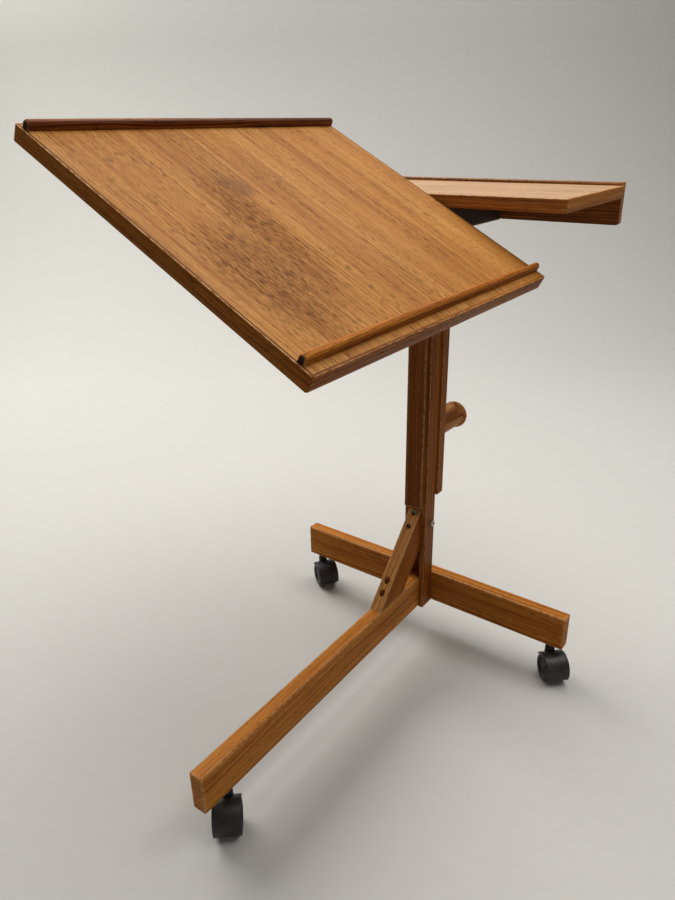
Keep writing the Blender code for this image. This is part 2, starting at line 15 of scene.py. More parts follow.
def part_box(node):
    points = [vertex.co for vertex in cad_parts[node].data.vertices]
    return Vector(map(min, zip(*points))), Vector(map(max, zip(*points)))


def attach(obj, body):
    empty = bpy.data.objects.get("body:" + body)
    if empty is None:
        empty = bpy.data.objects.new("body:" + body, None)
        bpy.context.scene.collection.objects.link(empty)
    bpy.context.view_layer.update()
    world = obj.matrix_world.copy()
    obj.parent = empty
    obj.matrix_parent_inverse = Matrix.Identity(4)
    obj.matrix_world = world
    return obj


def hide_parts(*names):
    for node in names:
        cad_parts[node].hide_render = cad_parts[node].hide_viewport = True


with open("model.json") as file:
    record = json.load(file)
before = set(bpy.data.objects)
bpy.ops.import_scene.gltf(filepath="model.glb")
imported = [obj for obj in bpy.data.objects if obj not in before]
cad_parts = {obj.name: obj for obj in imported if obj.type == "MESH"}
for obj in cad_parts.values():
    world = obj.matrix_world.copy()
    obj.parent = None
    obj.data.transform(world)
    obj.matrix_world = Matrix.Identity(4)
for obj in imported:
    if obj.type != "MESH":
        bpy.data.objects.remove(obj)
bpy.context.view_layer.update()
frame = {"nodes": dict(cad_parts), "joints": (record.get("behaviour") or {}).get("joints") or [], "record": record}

# Wood edges: EASE is a hand-sanded edge, EDGE_EASE a nearly sharp one
EASE = 0.0011
EDGE_EASE = 0.0006
BAR_EASE = 0.0026
# Width of the lighter band along each edge, which stands for worn finish and a painted highlight
EDGE_BAND = 0.0022
BEVEL_STEPS = 3

# PLAY is the gap round a pin in its hole; SHARP is the fold, in degrees, that stays a hard edge
PLAY = 0.0003
SHARP = 40.0

# Tops
LIPPING = 0.0030
LEAF_CORNER = 0.0028
SHELF_CORNER = 0.0014
TOP_EASE = 0.0009
SEAM = 0.00018
GLUE_LINE = 0.0009
MITRE_STEPS = 4
FENCE_CORNER = 0.005
FENCE_EASE = 0.0016
LIP_NOSE = 0.0034
UPPER_FACE = 0.0085

# Mast, brace and fastenings
SPACER_STEP = 0.0040
SPACER_RISE = 0.0677
BRACE_DEPTH = 0.050
COUNTERBORE = 0.0044
COUNTERBORE_FLOOR = 0.0035
SCREW_HEAD = 0.0036
SCREW_SHANK = 0.0021
SCREW_DRIVE = (0.0046, 0.0009, 0.0011)
KEY_SOCKET = (0.0025, 0.0021)
BOLT_RECESS = 0.0051
SOCKET_RECESS = 0.0065

# Castors
HOOD_RADIUS = 0.0251
HOOD_HALF = 0.0188
HOOD_INNER = 0.0235
HOOD_START = math.radians(-25.0)
HOOD_END = math.radians(150.0)
WEB_HALF = 0.0024
HOOD_TOP = 0.0528

# Camera, from the mast's foot
VIEW_FROM = Vector((0.5191, -0.9260, 0.8338))
VIEW_AZIMUTH = math.radians(36.70)
VIEW_ELEVATION = math.radians(24.38)
VIEW_ROLL = math.radians(-1.09)
LENS = 28.49

# Studio sweep: floor, round turn and wall, from the mast's foot
FLOOR_FRONT = -3.2
FLOOR_BACK = 2.6
SWEEP_BEND = 1.2
SWEEP_HALF = 5.0
WALL_TOP = 4.5
BEND_STEPS = 24

QUARTER = math.pi / 2
FLAT = Matrix.Identity(4)
GRAIN_X = Matrix.Identity(3)
GRAIN_Y = Matrix(((0, -1, 0), (1, 0, 0), (0, 0, 1)))
GRAIN_Z = Matrix(((0, 1, 0), (0, 0, 1), (1, 0, 0)))
BODY_OF = {node: body for body, nodes in frame["record"]["behaviour"]["bodies"].items() for node in nodes}
JOINTS = {joint["name"]: joint for joint in frame["joints"]}


# ---------------------------------------------------------------- shader graphs


def srgb(red, green, blue):
    """A screen colour, 0 to 255, as the linear RGBA that a shader takes."""
    linear = []
    for value in (red, green, blue):
        value = value / 255
        linear.append(value / 12.92 if value <= 0.04045 else ((value + 0.055) / 1.055) ** 2.4)
    return (*linear, 1.0)


class Graph:
    """A short way to write one material's nodes."""

    def __init__(self, name):
        self.material = bpy.data.materials.new(name)
        self.material.use_nodes = True
        self.tree = self.material.node_tree
        self.tree.nodes.clear()
        self.local = self.add("TexCoord", {}).outputs["Object"]

    def put(self, socket, value):
        if isinstance(value, bpy.types.NodeSocket):
            self.tree.links.new(value, socket)
        else:
            socket.default_value = value

    def add(self, kind, inputs, **settings):
        node = self.tree.nodes.new("ShaderNode" + kind)
        for key, value in settings.items():
            setattr(node, key, value)
        for key, value in inputs.items():
            self.put(node.inputs[key], value)
        return node

    def math(self, operation, a, b=0.0, c=0.0):
        return self.add("Math", {0: a, 1: b, 2: c}, operation=operation).outputs[0]

    def vector(self, operation, a, b):
        return self.add("VectorMath", {0: a, 1: b}, operation=operation).outputs[0]

    def noise(self, place, scale, detail=2.0, roughness=0.5):
        """Noise with its own scale on each axis, in features per metre."""
        scaled = self.vector("MULTIPLY", place, scale)
        inputs = {"Vector": scaled, "Scale": 1.0, "Detail": detail, "Roughness": roughness}
        return self.add("TexNoise", inputs).outputs["Fac"]

    def stretched(self, place, along, across, detail=2.0, roughness=0.5):
        """Noise drawn out along the grain."""
        return self.noise(place, (along, across, across), detail, roughness)

    def line(self, where, roughness):
        """Noise along one coordinate."""
        inputs = {"W": where, "Scale": 1.0, "Detail": 2.0, "Roughness": roughness}
        return self.add("TexNoise", inputs, noise_dimensions="1D").outputs["Fac"]

    def fade(self, value, low, high, start=0.0, end=1.0):
        inputs = {0: value, 1: low, 2: high, 3: start, 4: end}
        return self.add("MapRange", inputs, interpolation_type="SMOOTHSTEP").outputs[0]

    def mix(self, factor, a, b, blend="MIX"):
        node = self.add("Mix", {0: factor, 6: a, 7: b}, data_type="RGBA", blend_type=blend)
        return node.outputs[2]

    def ramp(self, value, stops):
        node = self.add("ValToRGB", {0: value})
        elements = node.color_ramp.elements
        while len(elements) < len(stops):
            elements.new(0.5)
        for element, (position, colour) in zip(elements, stops):
            element.position = position
            element.color = colour
        return node.outputs[0]

    def attribute(self, name):
        return self.add("Attribute", {}, attribute_name=name).outputs["Fac"]

    def shade(self, colour, roughness, height, depth, metallic=0.0, specular=0.5):
        bump = self.add("Bump", {"Height": height, "Distance": depth, "Strength": 1.0})
        inputs = {
            "Base Color": colour,
            "Roughness": roughness,
            "Metallic": metallic,
            "Specular IOR Level": specular,
            "Normal": bump.outputs[0],
        }
        shader = self.add("BsdfPrincipled", inputs)
        self.add("OutputMaterial", {"Surface": shader.outputs[0]})
        return self.material


def wood_place(graph):
    """Where a point lies in its own board: a different part of the tree for each piece."""
    chance = graph.add("ObjectInfo", {}).outputs["Random"]
    shift = graph.add("VectorMath", {0: (0.83, 0.37, 0.19), "Scale": chance}, operation="SCALE").outputs[0]
    return graph.vector("ADD", graph.local, shift)


def stain(graph, centre, size):
    """A soft-edged patch on the board's upper face, 1 at its middle and 0 outside and underneath."""
    rough = 0.9
    offset = graph.vector("SUBTRACT", graph.local, (*centre, UPPER_FACE))
    scaled = graph.vector("DIVIDE", offset, (*size, 0.012))
    distance = graph.add("VectorMath", {0: scaled}, operation="LENGTH").outputs["Value"]
    ragged = graph.math("MULTIPLY_ADD", graph.stretched(graph.local, 30.0, 90.0, 3.0, 0.6), rough, distance)
    return graph.fade(ragged, 0.45 + rough / 2, 1.15 + rough / 2, 1.0, 0.0)


def teak(name, tones, pores=0.5, gloss=0.50, ring=0.0030, sliced=False, patches=(), shine=0.16):
    """Oiled teak. Local X is the grain; sliced veneer has straight lines, and solid teak has arcs.

    tones are the dark, middle and light screen colours, and a patch is (kind, centre, size, strength).
    """
    dark, middle, light = (srgb(*tone) for tone in tones)
    graph = Graph(name)
    place = wood_place(graph)
    wander = graph.math("SUBTRACT", graph.stretched(place, 2.6, 14.0), 0.5)
    split = graph.add("SeparateXYZ", {0: place}).outputs
    if sliced:
        depth = split[1]
    else:
        away_y = graph.math("ADD", split[1], 0.055)
        away_z = graph.math("ADD", split[2], 0.110)
        squares = [graph.math("POWER", away, 2.0) for away in (away_y, away_z)]
        depth = graph.math("SQRT", graph.math("ADD", *squares))
    depth = graph.math("MULTIPLY_ADD", wander, 0.022, depth)
    growth = graph.line(graph.math("DIVIDE", depth, ring), 0.55)
    bands = graph.stretched(place, 1.3, 30.0, 1.0)
    streaks = graph.stretched(place, 6.0, 330.0, 3.0, 0.6)
    fibres = graph.stretched(place, 40.0, 1500.0)
    shares = (0.20, 0.18, 0.34, 0.28) if sliced else (0.34, 0.26, 0.26, 0.14)
    tone = 0.0
    for layer, share in zip((growth, bands, streaks, fibres), shares):
        tone = graph.math("MULTIPLY_ADD", layer, share, tone)
    tone = graph.fade(tone, 0.34, 0.66)
    colour = graph.ramp(tone, ((0.0, dark), (0.5, middle), (1.0, light)))
    cloud = graph.stretched(place, 7.0, 11.0)
    shade = graph.ramp(cloud, ((0.3, (0.80, 0.74, 0.66, 1.0)), (0.7, (1.0, 1.0, 1.0, 1.0))))
    colour = graph.mix(0.55, colour, shade, "MULTIPLY")
    dashes = graph.stretched(place, 90.0, 1300.0, 1.0)
    crowd = graph.fade(graph.stretched(place, 5.0, 90.0), 0.35, 0.70)
    limit = graph.math("MULTIPLY_ADD", crowd, -0.10, 0.66)
    pore = graph.fade(graph.math("SUBTRACT", dashes, limit), 0.0, 0.05)
    for kind, centre, size, amount in patches:
        patch = stain(graph, centre, size)
        if kind == "rough":
            pore_more = graph.fade(dashes, 0.50, 0.56)
            pore = graph.math("MAXIMUM", pore, graph.math("MULTIPLY", pore_more, patch))
            amount_now = graph.math("MULTIPLY", patch, graph.fade(streaks, 0.62, 0.40, 0.15, amount))
            colour = graph.mix(amount_now, colour, dark)
        else:
            colour = graph.mix(graph.math("MULTIPLY", patch, amount), colour, srgb(112, 72, 40))
    pit = tuple(0.28 * value for value in dark[:3]) + (1.0,)
    colour = graph.mix(graph.math("MULTIPLY", pore, pores), colour, pit)
    # The edge layer lightens the eased edges: partly worn finish, partly a painted highlight where the arrises
    # catch the light.
    chips = graph.stretched(place, 160.0, 420.0)
    rubbed_and_highlit = graph.math("POWER", graph.attribute("wear_and_highlight"), 2.0)
    wear_and_highlight = graph.math("MULTIPLY", rubbed_and_highlit, graph.fade(chips, 0.30, 0.66))
    colour = graph.mix(graph.math("MULTIPLY", wear_and_highlight, 0.32), colour, srgb(222, 184, 136))
    colour = graph.mix(graph.math("MULTIPLY", graph.attribute("grime"), 0.75), colour, srgb(38, 20, 10))
    sheen = graph.math("MULTIPLY_ADD", graph.math("SUBTRACT", cloud, 0.5), 0.25, gloss)
    sheen = graph.math("MULTIPLY_ADD", pore, 0.18, sheen)
    sheen = graph.math("MULTIPLY_ADD", wear_and_highlight, 0.12, sheen)
    height = graph.math("MULTIPLY_ADD", fibres, 0.35, graph.math("MULTIPLY", streaks, 0.25))
    height = graph.math("MULTIPLY_ADD", pore, -0.6, height)
    return graph.shade(colour, sheen, height, 0.00022, 0.0, shine)


def nylon(name):
    """Black moulded nylon with a fine grain, dulled by scuffs and floor dust."""
    graph = Graph(name)
    grain = graph.noise(graph.local, (1500.0, 1500.0, 1500.0))
    scuffs = graph.noise(graph.local, (60.0, 260.0, 60.0), 4.0, 0.65)
    dust = graph.fade(graph.noise(graph.local, (45.0, 45.0, 45.0), 5.0, 0.7), 0.50, 0.72)
    colour = graph.mix(graph.fade(scuffs, 0.45, 0.75), srgb(20, 20, 20), srgb(40, 39, 38))
    colour = graph.mix(graph.math("MULTIPLY", dust, 0.18), colour, srgb(92, 88, 80))
    colour = graph.mix(graph.math("MULTIPLY", graph.attribute("wear_and_highlight"), 0.35), colour, srgb(84, 82, 78))
    gloss = graph.fade(scuffs, 0.3, 0.8, 0.38, 0.62)
    height = graph.math("MULTIPLY_ADD", scuffs, 0.6, graph.math("MULTIPLY", grain, 0.4))
    return graph.shade(colour, gloss, height, 0.00006)


def steel(name, shade, rough):
    """Zinc-plated steel: brushed round, with duller patches and a few dark specks."""
    graph = Graph(name)
    brushed = graph.noise(graph.local, (900.0, 900.0, 60.0))
    patches = graph.noise(graph.local, (120.0, 120.0, 120.0), 3.0, 0.6)
    specks = graph.fade(graph.noise(graph.local, (700.0, 700.0, 700.0), 1.0), 0.66, 0.74)
    colour = graph.mix(graph.fade(patches, 0.35, 0.70), shade, tuple(0.55 * c for c in shade[:3]) + (1.0,))
    colour = graph.mix(graph.math("MULTIPLY", specks, 0.6), colour, srgb(70, 60, 50))
    gloss = graph.math("MULTIPLY_ADD", graph.math("SUBTRACT", patches, 0.5), 0.3, rough)
    height = graph.math("MULTIPLY_ADD", specks, -0.5, brushed)
    return graph.shade(colour, gloss, height, 0.00004, 1.0)


LEAF_PATCHES = (
    ("ring", (-0.063, -0.072), (0.028, 0.020), 0.60),
    ("rough", (0.080, -0.165), (0.105, 0.055), 0.42),
    ("rough", (0.010, -0.105), (0.120, 0.034), 0.20),
)
LEAF_VENEER = teak(
    "leaf_veneer", ((130, 72, 22), (167, 112, 50), (188, 137, 74)),
    pores=0.8, ring=0.0034, sliced=True, patches=LEAF_PATCHES, shine=0.10,
)
SHELF_VENEER = teak(
    "shelf_veneer", ((138, 94, 56), (174, 134, 94), (194, 162, 126)),
    pores=0.4, gloss=0.40, ring=0.0034, sliced=True, shine=0.45,
)
TEAK = teak("solid_teak", ((96, 47, 7), (136, 76, 18), (166, 102, 34)), 0.55, shine=0.08)
# A lighter copy of the solid teak: the extra lightness is painted light on the tops of the bars and of the low
# book lip.
LIT_BAR_TEAK = teak("lit_bar_teak", ((124, 66, 14), (170, 102, 32), (202, 136, 62)), 0.55, shine=0.08)
EDGE_TEAK = teak("edge_teak", ((112, 62, 16), (160, 100, 40), (194, 138, 78)))
# A darker copy of the solid teak for the front board: the darkness is painted shade on its front face.
SHADED_BOARD_TEAK = teak("shaded_board_teak", ((84, 41, 8), (112, 60, 14), (136, 79, 24)), shine=0.08)
FENCE_TEAK = teak("fence_teak", ((70, 32, 8), (116, 64, 22), (166, 110, 54)), shine=0.12)
BEARER_TEAK = teak("bearer_teak", ((26, 16, 9), (46, 29, 17), (66, 42, 24)), shine=0.12)
DARK_TEAK = teak("dark_teak", ((54, 20, 3), (94, 42, 8), (140, 78, 26)), 0.6, 0.42)
# Paler teak for the brace's sloped faces; against the darker sides it also paints the light on the lit front.
BRACE_TEAK = teak("brace_teak", ((130, 84, 40), (168, 116, 62), (196, 148, 90)), 0.6, 0.58, shine=0.10)
END_TEAK = teak("lip_end_teak", ((30, 27, 22), (46, 42, 34), (66, 58, 46)), 0.6, 0.6)
NYLON = nylon("black_nylon")
STEEL = steel("zinc_steel", (0.56, 0.54, 0.49, 1.0), 0.34)
DULL_STEEL = steel("dull_steel", (0.22, 0.20, 0.17, 1.0), 0.48)


# ---------------------------------------------------------------- mesh helpers


def new_object(name, data):
    """A new object that is in the scene."""
    obj = bpy.data.objects.new(name, data)
    bpy.context.scene.collection.objects.link(obj)
    return obj


def finish_mesh(name, shape, sharp=SHARP):
    """Turns the bmesh into a mesh with smooth faces, and sharp edges where it folds."""
    bmesh.ops.recalc_face_normals(shape, faces=shape.faces)
    mesh = bpy.data.meshes.new(name)
    shape.to_mesh(mesh)
    shape.free()
    mesh.shade_smooth()
    mesh.set_sharp_from_angle(angle=math.radians(sharp))
    return mesh


def add_piece(node, mesh, matrix, material):
    """Puts the mesh in the scene in place of the CAD node, on the node's own body."""
    piece = new_object("finished_" + node, mesh)
    piece.matrix_world = matrix
    mesh.materials.append(material)
    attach(piece, BODY_OF[node])
    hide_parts(node)


def local_box(axes, *nodes):
    """Lowest and highest corners of one CAD node, or of several together, in the given axes."""
    inverse = axes.inverted()
    points = [inverse @ vertex.co for node in nodes for vertex in frame["nodes"][node].data.vertices]
    low = Vector([min(point[i] for point in points) for i in range(3)])
    high = Vector([max(point[i] for point in points) for i in range(3)])
    return low, high


def set_layer(shape, name, values):
    """Writes a per-vertex value by vertex number, because a new layer ends the vertex handles."""
    shape.verts.index_update()
    by_number = {vertex.index: value for vertex, value in values.items()}
    layer = shape.verts.layers.float.new(name)
    shape.verts.ensure_lookup_table()
    for number, value in by_number.items():
        shape.verts[number][layer] = value


def round_edges(shape, edges, radius, steps=BEVEL_STEPS):
    bmesh.ops.bevel(shape, geom=edges, offset=radius, segments=steps, profile=0.5, affect="EDGES")


def largest(shape, count):
    return sorted(shape.faces, key=lambda face: -face.calc_area())[:count]


def inset_band(shape, faces, band, layer="wear_and_highlight", amount=1.0):
    """Insets the flat faces, so that only the edges and a band beside them carry the layer."""
    rim = set(shape.verts)
    bmesh.ops.inset_individual(shape, faces=faces, thickness=band, use_even_offset=True)
    set_layer(shape, layer, {vertex: amount if vertex in rim else 0.0 for vertex in shape.verts})


def box_shape(size):
    shape = bmesh.new()
    bmesh.ops.create_cube(shape, size=1.0)
    bmesh.ops.scale(shape, vec=size, verts=shape.verts)
    return shape


def eased_block_shape(size, ease):
    """A block with rounded edges, and a band inside each face that carries the lighter edge: worn finish and a
    painted highlight along the arrises.
    """
    shape = box_shape(size)
    round_edges(shape, shape.edges[:], ease)
    shape.normal_update()
    flat = [face for face in shape.faces if max(abs(value) for value in face.normal) > 0.99999]
    inset_band(shape, flat, min(EDGE_BAND, 0.22 * min(size)))
    return shape


def grain_matrix(axes, centre, grain):
    """Axes of a piece whose local X is the grain: the frame's axes, turned, at the piece's centre."""
    return axes @ Matrix.Translation(centre) @ grain.to_4x4()


def grain_size(size, grain):
    return Vector([abs(value) for value in grain.transposed() @ size])


def cylinder_shape(radius, length, sides):
    """A closed prism about local Z, with its middle at the origin."""
    shape = bmesh.new()
    bmesh.ops.create_cone(shape, cap_ends=True, segments=sides, radius1=radius, radius2=radius, depth=length)
    return shape


def hole_mesh(start, end, radius):
    """A closed cutter between two points."""
    way = Vector(end) - Vector(start)
    shape = cylinder_shape(radius, way.length, 40)
    turn = Vector((0, 0, 1)).rotation_difference(way).to_matrix().to_4x4()
    middle = Matrix.Translation((Vector(start) + Vector(end)) / 2)
    bmesh.ops.transform(shape, matrix=middle @ turn, verts=shape.verts)
    return finish_mesh("hole", shape)


def carve(mesh, matrix, cutters):
    """Cuts away from a mesh that will stand at matrix; the cutters are meshes in world axes."""
    target = new_object("carving", mesh)
    target.matrix_world = matrix
    tools = []
    for index, cutter in enumerate(cutters):
        tool = new_object(f"tool_{index}", cutter)
        modifier = target.modifiers.new(tool.name, "BOOLEAN")
        modifier.object = tool
        modifier.operation = "DIFFERENCE"
        modifier.solver = "EXACT"
        tools.append(tool)
    bpy.context.view_layer.update()
    graph = bpy.context.evaluated_depsgraph_get()
    carved = bpy.data.meshes.new_from_object(target.evaluated_get(graph))
    for obj in [target, *tools]:
        bpy.data.objects.remove(obj, do_unlink=True)
    carved.materials.clear()
    carved.set_sharp_from_angle(angle=math.radians(SHARP))
    return carved


def block(node, grain, material, ease=EASE, axes=FLAT, holes=()):
    """A sawn and sanded board in place of a CAD box. A hole is (start, end, radius) in world axes."""
    low, high = local_box(axes, node)
    mesh = finish_mesh(node, eased_block_shape(grain_size(high - low, grain), ease))
    matrix = grain_matrix(axes, (low + high) / 2, grain)
    if holes:
        mesh = carve(mesh, matrix, [hole_mesh(*hole) for hole in holes])
    add_piece(node, mesh, matrix, material)


def arc(centre, radius, start, end, count):
    """Points along a round stretch of an outline; the angles are in degrees."""
    points = []
    for i in range(count + 1):
        angle = math.radians(start + (end - start) * i / count)
        points.append((centre[0] + radius * math.cos(angle), centre[1] + radius * math.sin(angle)))
    return points


def lathe_shape(profile, steps, closed=False):
    """Turns (radius, height) points about local Z. A closed profile makes a ring."""
    shape = bmesh.new()
    angles = [2 * math.pi * i / steps for i in range(steps)]
    rings = []
    for radius, height in profile:
        if radius < 1e-7:
            rings.append([shape.verts.new((0.0, 0.0, height))])
            continue
        points = [(radius * math.cos(angle), radius * math.sin(angle), height) for angle in angles]
        rings.append([shape.verts.new(point) for point in points])
    pairs = list(zip(rings, rings[1:]))
    if closed:
        pairs.append((rings[-1], rings[0]))
    for upper, lower in pairs:
        for i in range(steps):
            j = (i + 1) % steps
            if len(upper) == 1 and len(lower) == 1:
                continue
            if len(upper) == 1:
                shape.faces.new((upper[0], lower[i], lower[j]))
            elif len(lower) == 1:
                shape.faces.new((upper[j], upper[i], lower[0]))
            else:
                shape.faces.new((upper[j], upper[i], lower[i], lower[j]))
    return shape


def aim_matrix(origin, way):
    """Axes whose Z points along way."""
    turn = Vector((0, 0, 1)).rotation_difference(Vector(way)).to_matrix().to_4x4()
    return Matrix.Translation(origin) @ turn


def turned(node, profile, matrix, material, steps, closed=False):
    mesh = finish_mesh(node, lathe_shape(profile, steps, closed))
    add_piece(node, mesh, matrix, material)


def loft(rings):
    """Joins closed rings of points, in order, into one surface with both ends closed."""
    shape = bmesh.new()
    loops = [[shape.verts.new(point) for point in ring] for ring in rings]
    count = len(loops[0])
    for a, b in zip(loops, loops[1:]):
        for i in range(count):
            j = (i + 1) % count
            shape.faces.new((a[i], a[j], b[j], b[i]))
    shape.faces.new(list(reversed(loops[0])))
    shape.faces.new(loops[-1])
    return shape


def box_of(node):
    """Lowest corner, highest corner and middle of a CAD node."""
    low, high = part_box(node)
    return low, high, (low + high) / 2


# ---------------------------------------------------------------- base and mast


MAST = (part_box("left_post")[0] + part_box("right_post")[1]) / 2
MAST.z = 0.0
BAR_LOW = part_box("long_leg")[0]


def socket_hole(label):
    """The hole in a bar's underside that takes a castor's plastic sleeve."""
    _, high, middle = box_of(f"castor_{label}_socket")
    return ((*middle.xy, BAR_LOW.z - 0.010), (*middle.xy, high.z + PLAY), SOCKET_RECESS)


def make_bars():
    block("long_leg", GRAIN_Y, LIT_BAR_TEAK, BAR_EASE, holes=(socket_hole("front"),))
    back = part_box("cross_bar")[1].y
    holes = [socket_hole("left"), socket_hole("right")]
    for node in ("leg_bolt_lower", "leg_bolt_upper"):
        height = box_of(node)[2].z
        holes.append(((MAST.x, back - 0.005, height), (MAST.x, back + 0.005, height), BOLT_RECESS))
    block("cross_bar", GRAIN_X, LIT_BAR_TEAK, BAR_EASE, holes=holes)


def make_posts():
    for node in ("left_post", "right_post", "post_top_spacer"):
        block(node, GRAIN_Z, TEAK, EDGE_EASE)
    make_spacer()


def make_spacer():
    """The stepped filler between the posts: its lower part is cut back to leave a slot behind the brace."""
    low, high, middle = box_of("post_spacer")
    step_y = middle.y + SPACER_STEP
    step_z = low.z + SPACER_RISE
    outline = [(low.y, step_z), (step_y, step_z), (step_y, low.z)]
    outline += [(high.y, low.z), (high.y, high.z), (low.y, high.z)]
    half = (high.x - low.x) / 2
    rings = []
    for side in (-half, half):
        rings.append([Vector((z - middle.z, side, y - middle.y)) for y, z in outline])
    shape = loft(rings)
    round_edges(shape, shape.edges[:], EDGE_EASE, 2)
    mesh = finish_mesh("post_spacer", shape)
    add_piece("post_spacer", mesh, grain_matrix(FLAT, middle, GRAIN_Z), TEAK)


def socket_cutter(matrix):
    """A six-sided key socket, sunk from the origin down local -Z."""
    radius, depth = KEY_SOCKET
    shape = cylinder_shape(radius, 2 * depth, 6)
    bmesh.ops.transform(shape, matrix=matrix, verts=shape.verts)
    return finish_mesh("key_socket", shape)


def slot_cutter(matrix, turn):
    """One arm of a screw's cross recess."""
    length, width, depth = SCREW_DRIVE
    shape = box_shape((length, width, 2 * depth))
    spin = Matrix.Rotation(turn, 4, "Z")
    bmesh.ops.transform(shape, matrix=matrix @ spin, verts=shape.verts)
    return finish_mesh("slot", shape)


def make_post_bolt():
    """A sleeve bolt across both posts: a hollow barrel nut on the right, a low head on the left."""
    low, high, middle = box_of("post_bolt")
    reach = high.x - MAST.x
    left = low.x - MAST.x
    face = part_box("right_post")[1].x - MAST.x
    head = (high.z - low.z) / 2
    profile = [(0.0, reach - 0.0034), (0.0027, reach - 0.0034), (0.0027, reach - 0.0004), (0.0031, reach)]
    profile += [(head - 0.0007, reach), (head - 0.0002, reach - 0.0002), (head, reach - 0.0007)]
    profile += [(head, face + 0.0002), (head - 0.0003, face + 0.0001), (0.003, face)]
    profile += [(0.003, -face), (head, -face), (head, left + 0.0012), (head - 0.0006, left + 0.0003)]
    profile += [(head - 0.0016, left), (0.0, left)]
    matrix = aim_matrix((MAST.x, middle.y, middle.z), (1, 0, 0))
    turned("post_bolt", profile, matrix, STEEL, 48)


def make_leg_bolts():
    for node in ("leg_bolt_lower", "leg_bolt_upper"):
        low, high, middle = box_of(node)
        head = (high.z - low.z) / 2
        length = high.y - low.y
        profile = [(0.0, 0.0), (head - 0.0008, 0.0), (head - 0.0002, -0.0003), (head, -0.0009)]
        profile += [(head, -0.0040), (0.003, -0.0040), (0.003, 0.0008 - length)]
        profile += [(0.0022, -length), (0.0, -length)]
        matrix = aim_matrix((middle.x, high.y, middle.z), (0, 1, 0))
        mesh = finish_mesh(node, lathe_shape(profile, 48))
        mesh = carve(mesh, matrix, [socket_cutter(matrix)])
        add_piece(node, mesh, matrix, DULL_STEEL)


def make_screw(node, origin, way, length, turn):
    """A countersunk wood screw with a cross recess; its head's face is at the origin."""
    profile = [(0.0, 0.0), (SCREW_HEAD - 0.0004, 0.0), (SCREW_HEAD, -0.0004), (SCREW_SHANK, -0.0028)]
    profile += [(SCREW_SHANK, 0.004 - length), (0.0006, -length), (0.0, -length)]
    matrix = aim_matrix(origin, way)
    mesh = finish_mesh(node, lathe_shape(profile, 40))
    mesh = carve(mesh, matrix, [slot_cutter(matrix, turn), slot_cutter(matrix, turn + QUARTER)])
    add_piece(node, mesh, matrix, DULL_STEEL)


def make_brace():
    """The raking strut: drawn with local X up the slope, bored for four screws."""
    low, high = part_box("brace")
    rise = high.z - low.z
    run = high.y - low.y
    slope = math.atan2(rise, run)
    foot = BRACE_DEPTH / math.sin(slope)
    back = BRACE_DEPTH / math.cos(slope)
    outline = ((0.0, 0.0), (foot, 0.0), (run, rise - back), (run, rise))
    toe = Vector(((low.x + high.x) / 2, low.y, low.z))
    matrix = Matrix.Translation(toe) @ GRAIN_Y.to_4x4() @ Matrix.Rotation(-slope, 4, "Y")
    inverse = matrix.inverted()
    half = (high.x - low.x) / 2
    rings = []
    for side in (-half, half):
        rings.append([inverse @ (toe + Vector((side, y, z))) for y, z in outline])
    shape = loft(rings)
    bmesh.ops.recalc_face_normals(shape, faces=shape.faces)
    round_edges(shape, shape.edges[:], EASE)
    inset_band(shape, largest(shape, 6), 0.0016)
    mesh = finish_mesh("brace", shape)
    holes = []
    for node in ("leg_screw_1", "leg_screw_2"):
        low, high, (x, y, _) = box_of(node)
        floor = high.z + 0.0012 - COUNTERBORE_FLOOR
        holes.append(hole_mesh((x, y, floor), (x, y, floor + 0.045), COUNTERBORE))
        make_screw(node, Vector((x, y, high.z)), (0, 0, 1), high.z - low.z, 0.5)
    for node in ("post_screw_1", "post_screw_2"):
        low, high, (x, _, z) = box_of(node)
        floor = low.y - 0.0012 + COUNTERBORE_FLOOR
        holes.append(hole_mesh((x, floor, z), (x, floor - 0.045, z), COUNTERBORE))
        make_screw(node, Vector((x, low.y, z)), (0, -1, 0), high.y - low.y, 0.9)
    mesh = carve(mesh, matrix, holes)
    add_piece("brace", mesh, matrix, BRACE_TEAK)
    # The sloped faces keep the paler brace teak and the faces across the brace's thickness take the darker solid
    # teak: the pinkish tone is the brace's own, and the split paints light on the lit sloping front and shade on
    # the sides.
    mesh.materials.append(TEAK)
    for face in mesh.polygons:
        face.material_index = 1 if abs(face.normal.y) > 0.8 else 0


# ---------------------------------------------------------------- slide, shelf and height clamp


def make_slide():
    # The front board's darker teak paints the shade on its front face.
    block("front_board", GRAIN_Z, SHADED_BOARD_TEAK, EASE)
    for node in ("back_board", "slide_tongue", "head_block"):
        block(node, GRAIN_Z, TEAK, EDGE_EASE)
    block("shelf_bearer", GRAIN_Y, BEARER_TEAK, 0.0015)


def make_clamp():
    low, high, middle = box_of("clamp_stud")
    radius = (high.z - low.z) / 2
    length = high.y - low.y
    matrix = aim_matrix((middle.x, low.y, middle.z), (0, 1, 0))
    profile = [(0.0, length), (radius - 0.0006, length), (radius, length - 0.0006), (radius, 0.0), (0.0, 0.0)]
    turned("clamp_stud", profile, matrix, DULL_STEEL, 32)
    low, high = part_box("clamp_washer")
    outer = (high.z - low.z) / 2
    thick = high.y - low.y
    ring = [(outer - 0.0003, thick), (outer, thick - 0.0003), (outer, 0.0003), (outer - 0.0003, 0.0)]
    ring += [(radius + 0.0004, 0.0), (radius + 0.0004, thick)]
    matrix = aim_matrix((middle.x, low.y, middle.z), (0, 1, 0))
    turned("clamp_washer", ring, matrix, STEEL, 48, True)
    make_height_knob(middle, radius + PLAY)


